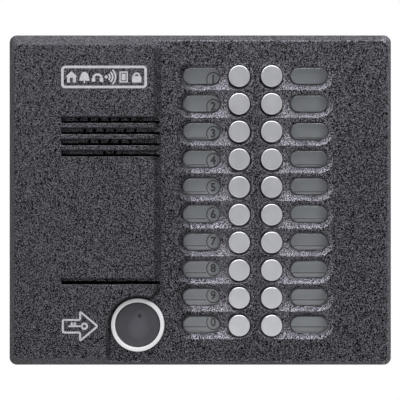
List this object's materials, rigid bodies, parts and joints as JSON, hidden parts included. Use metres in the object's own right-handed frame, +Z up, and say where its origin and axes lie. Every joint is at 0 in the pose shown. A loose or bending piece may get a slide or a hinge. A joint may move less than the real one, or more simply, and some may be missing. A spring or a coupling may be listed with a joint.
{
  "type": "door intercom panel",
  "caption": "Wall-mounted door intercom call panel: two columns of round call buttons beside name windows, a raised block with sound grooves, and a round key reader.",
  "frame": {"origin": "centre of the back face of the wall plate, on the wall plane", "axes": "+X to the visitor's right, +Z up, +Y into the wall; the visitor stands on the -Y side"},
  "size_m": [0.1776, 0.0395, 0.1534],
  "materials": {
    "hammered_paint": "dark grey hammered paint on a casting, satin",
    "stainless": "satin stainless steel",
    "plated_steel": "zinc plated steel",
    "bezel_metal": "light satin plated ring",
    "clear_plastic": "clear polycarbonate",
    "card": "matt printed card",
    "white_plastic": "off-white moulded plastic",
    "black_plastic": "black moulded plastic",
    "reader_plastic": "dark grey satin plastic",
    "circuit_board": "green solder mask",
    "terminal_plastic": "green moulded plastic",
    "rubber": "black rubber",
    "foam": "closed cell foam strip",
    "paper_cone": "treated paper cone",
    "magnet_ferrite": "sintered ferrite",
    "copper": "enamelled copper wire"
  },
  "bodies": {
    "panel": {"front_housing": "hammered_paint", "wall_gasket": "foam", "rear_mounting_plate": "plated_steel", "cable_grommet": "rubber", "security_screw_left": "stainless", "security_screw_right": "stainless", "label_window_left": "clear_plastic", "label_window_right": "clear_plastic", "label_card_left": "card", "label_card_right": "card", "label_backing_left": "white_plastic", "label_backing_right": "white_plastic", "button_guide": "black_plastic", "button_board": "circuit_board", "main_board": "circuit_board", "board_connector": "black_plastic", "terminal_block": "terminal_plastic", "speaker_gasket": "foam", "speaker_basket": "plated_steel", "speaker_cone": "paper_cone", "speaker_magnet": "magnet_ferrite", "speaker_bracket": "plated_steel", "microphone_capsule": "plated_steel", "microphone_boot": "rubber", "reader_ring": "bezel_metal", "reader_disc": "reader_plastic", "reader_nut": "black_plastic", "reader_coil": "copper", "reader_board": "circuit_board", "button_board_screw_1": "plated_steel", "button_board_screw_2": "plated_steel", "button_board_screw_3": "plated_steel", "button_board_screw_4": "plated_steel", "main_board_screw_1": "plated_steel", "main_board_screw_2": "plated_steel", "main_board_screw_3": "plated_steel", "main_board_screw_4": "plated_steel", "speaker_bracket_screw_1": "plated_steel", "speaker_bracket_screw_2": "plated_steel"},
    "button_left_1": {"button_left_1": "stainless"},
    "button_left_2": {"button_left_2": "stainless"},
    "button_left_3": {"button_left_3": "stainless"},
    "button_left_4": {"button_left_4": "stainless"},
    "button_left_5": {"button_left_5": "stainless"},
    "button_left_6": {"button_left_6": "stainless"},
    "button_left_7": {"button_left_7": "stainless"},
    "button_left_8": {"button_left_8": "stainless"},
    "button_left_9": {"button_left_9": "stainless"},
    "button_left_10": {"button_left_10": "stainless"},
    "button_right_1": {"button_right_1": "stainless"},
    "button_right_2": {"button_right_2": "stainless"},
    "button_right_3": {"button_right_3": "stainless"},
    "button_right_4": {"button_right_4": "stainless"},
    "button_right_5": {"button_right_5": "stainless"},
    "button_right_6": {"button_right_6": "stainless"},
    "button_right_7": {"button_right_7": "stainless"},
    "button_right_8": {"button_right_8": "stainless"},
    "button_right_9": {"button_right_9": "stainless"},
    "button_right_10": {"button_right_10": "stainless"}
  },
  "joints": [
    {"name": "press_left_1", "type": "slide", "parent": "panel", "child": "button_left_1", "axis": [0, 1, 0], "range_m": [0, 0.001], "stiffness_N_per_m": 1500, "springref_m": -0.0007},
    {"name": "press_left_2", "type": "slide", "parent": "panel", "child": "button_left_2", "axis": [0, 1, 0], "range_m": [0, 0.001], "stiffness_N_per_m": 1500, "springref_m": -0.0007},
    {"name": "press_left_3", "type": "slide", "parent": "panel", "child": "button_left_3", "axis": [0, 1, 0], "range_m": [0, 0.001], "stiffness_N_per_m": 1500, "springref_m": -0.0007},
    {"name": "press_left_4", "type": "slide", "parent": "panel", "child": "button_left_4", "axis": [0, 1, 0], "range_m": [0, 0.001], "stiffness_N_per_m": 1500, "springref_m": -0.0007},
    {"name": "press_left_5", "type": "slide", "parent": "panel", "child": "button_left_5", "axis": [0, 1, 0], "range_m": [0, 0.001], "stiffness_N_per_m": 1500, "springref_m": -0.0007},
    {"name": "press_left_6", "type": "slide", "parent": "panel", "child": "button_left_6", "axis": [0, 1, 0], "range_m": [0, 0.001], "stiffness_N_per_m": 1500, "springref_m": -0.0007},
    {"name": "press_left_7", "type": "slide", "parent": "panel", "child": "button_left_7", "axis": [0, 1, 0], "range_m": [0, 0.001], "stiffness_N_per_m": 1500, "springref_m": -0.0007},
    {"name": "press_left_8", "type": "slide", "parent": "panel", "child": "button_left_8", "axis": [0, 1, 0], "range_m": [0, 0.001], "stiffness_N_per_m": 1500, "springref_m": -0.0007},
    {"name": "press_left_9", "type": "slide", "parent": "panel", "child": "button_left_9", "axis": [0, 1, 0], "range_m": [0, 0.001], "stiffness_N_per_m": 1500, "springref_m": -0.0007},
    {"name": "press_left_10", "type": "slide", "parent": "panel", "child": "button_left_10", "axis": [0, 1, 0], "range_m": [0, 0.001], "stiffness_N_per_m": 1500, "springref_m": -0.0007},
    {"name": "press_right_1", "type": "slide", "parent": "panel", "child": "button_right_1", "axis": [0, 1, 0], "range_m": [0, 0.001], "stiffness_N_per_m": 1500, "springref_m": -0.0007},
    {"name": "press_right_2", "type": "slide", "parent": "panel", "child": "button_right_2", "axis": [0, 1, 0], "range_m": [0, 0.001], "stiffness_N_per_m": 1500, "springref_m": -0.0007},
    {"name": "press_right_3", "type": "slide", "parent": "panel", "child": "button_right_3", "axis": [0, 1, 0], "range_m": [0, 0.001], "stiffness_N_per_m": 1500, "springref_m": -0.0007},
    {"name": "press_right_4", "type": "slide", "parent": "panel", "child": "button_right_4", "axis": [0, 1, 0], "range_m": [0, 0.001], "stiffness_N_per_m": 1500, "springref_m": -0.0007},
    {"name": "press_right_5", "type": "slide", "parent": "panel", "child": "button_right_5", "axis": [0, 1, 0], "range_m": [0, 0.001], "stiffness_N_per_m": 1500, "springref_m": -0.0007},
    {"name": "press_right_6", "type": "slide", "parent": "panel", "child": "button_right_6", "axis": [0, 1, 0], "range_m": [0, 0.001], "stiffness_N_per_m": 1500, "springref_m": -0.0007},
    {"name": "press_right_7", "type": "slide", "parent": "panel", "child": "button_right_7", "axis": [0, 1, 0], "range_m": [0, 0.001], "stiffness_N_per_m": 1500, "springref_m": -0.0007},
    {"name": "press_right_8", "type": "slide", "parent": "panel", "child": "button_right_8", "axis": [0, 1, 0], "range_m": [0, 0.001], "stiffness_N_per_m": 1500, "springref_m": -0.0007},
    {"name": "press_right_9", "type": "slide", "parent": "panel", "child": "button_right_9", "axis": [0, 1, 0], "range_m": [0, 0.001], "stiffness_N_per_m": 1500, "springref_m": -0.0007},
    {"name": "press_right_10", "type": "slide", "parent": "panel", "child": "button_right_10", "axis": [0, 1, 0], "range_m": [0, 0.001], "stiffness_N_per_m": 1500, "springref_m": -0.0007}
  ]
}
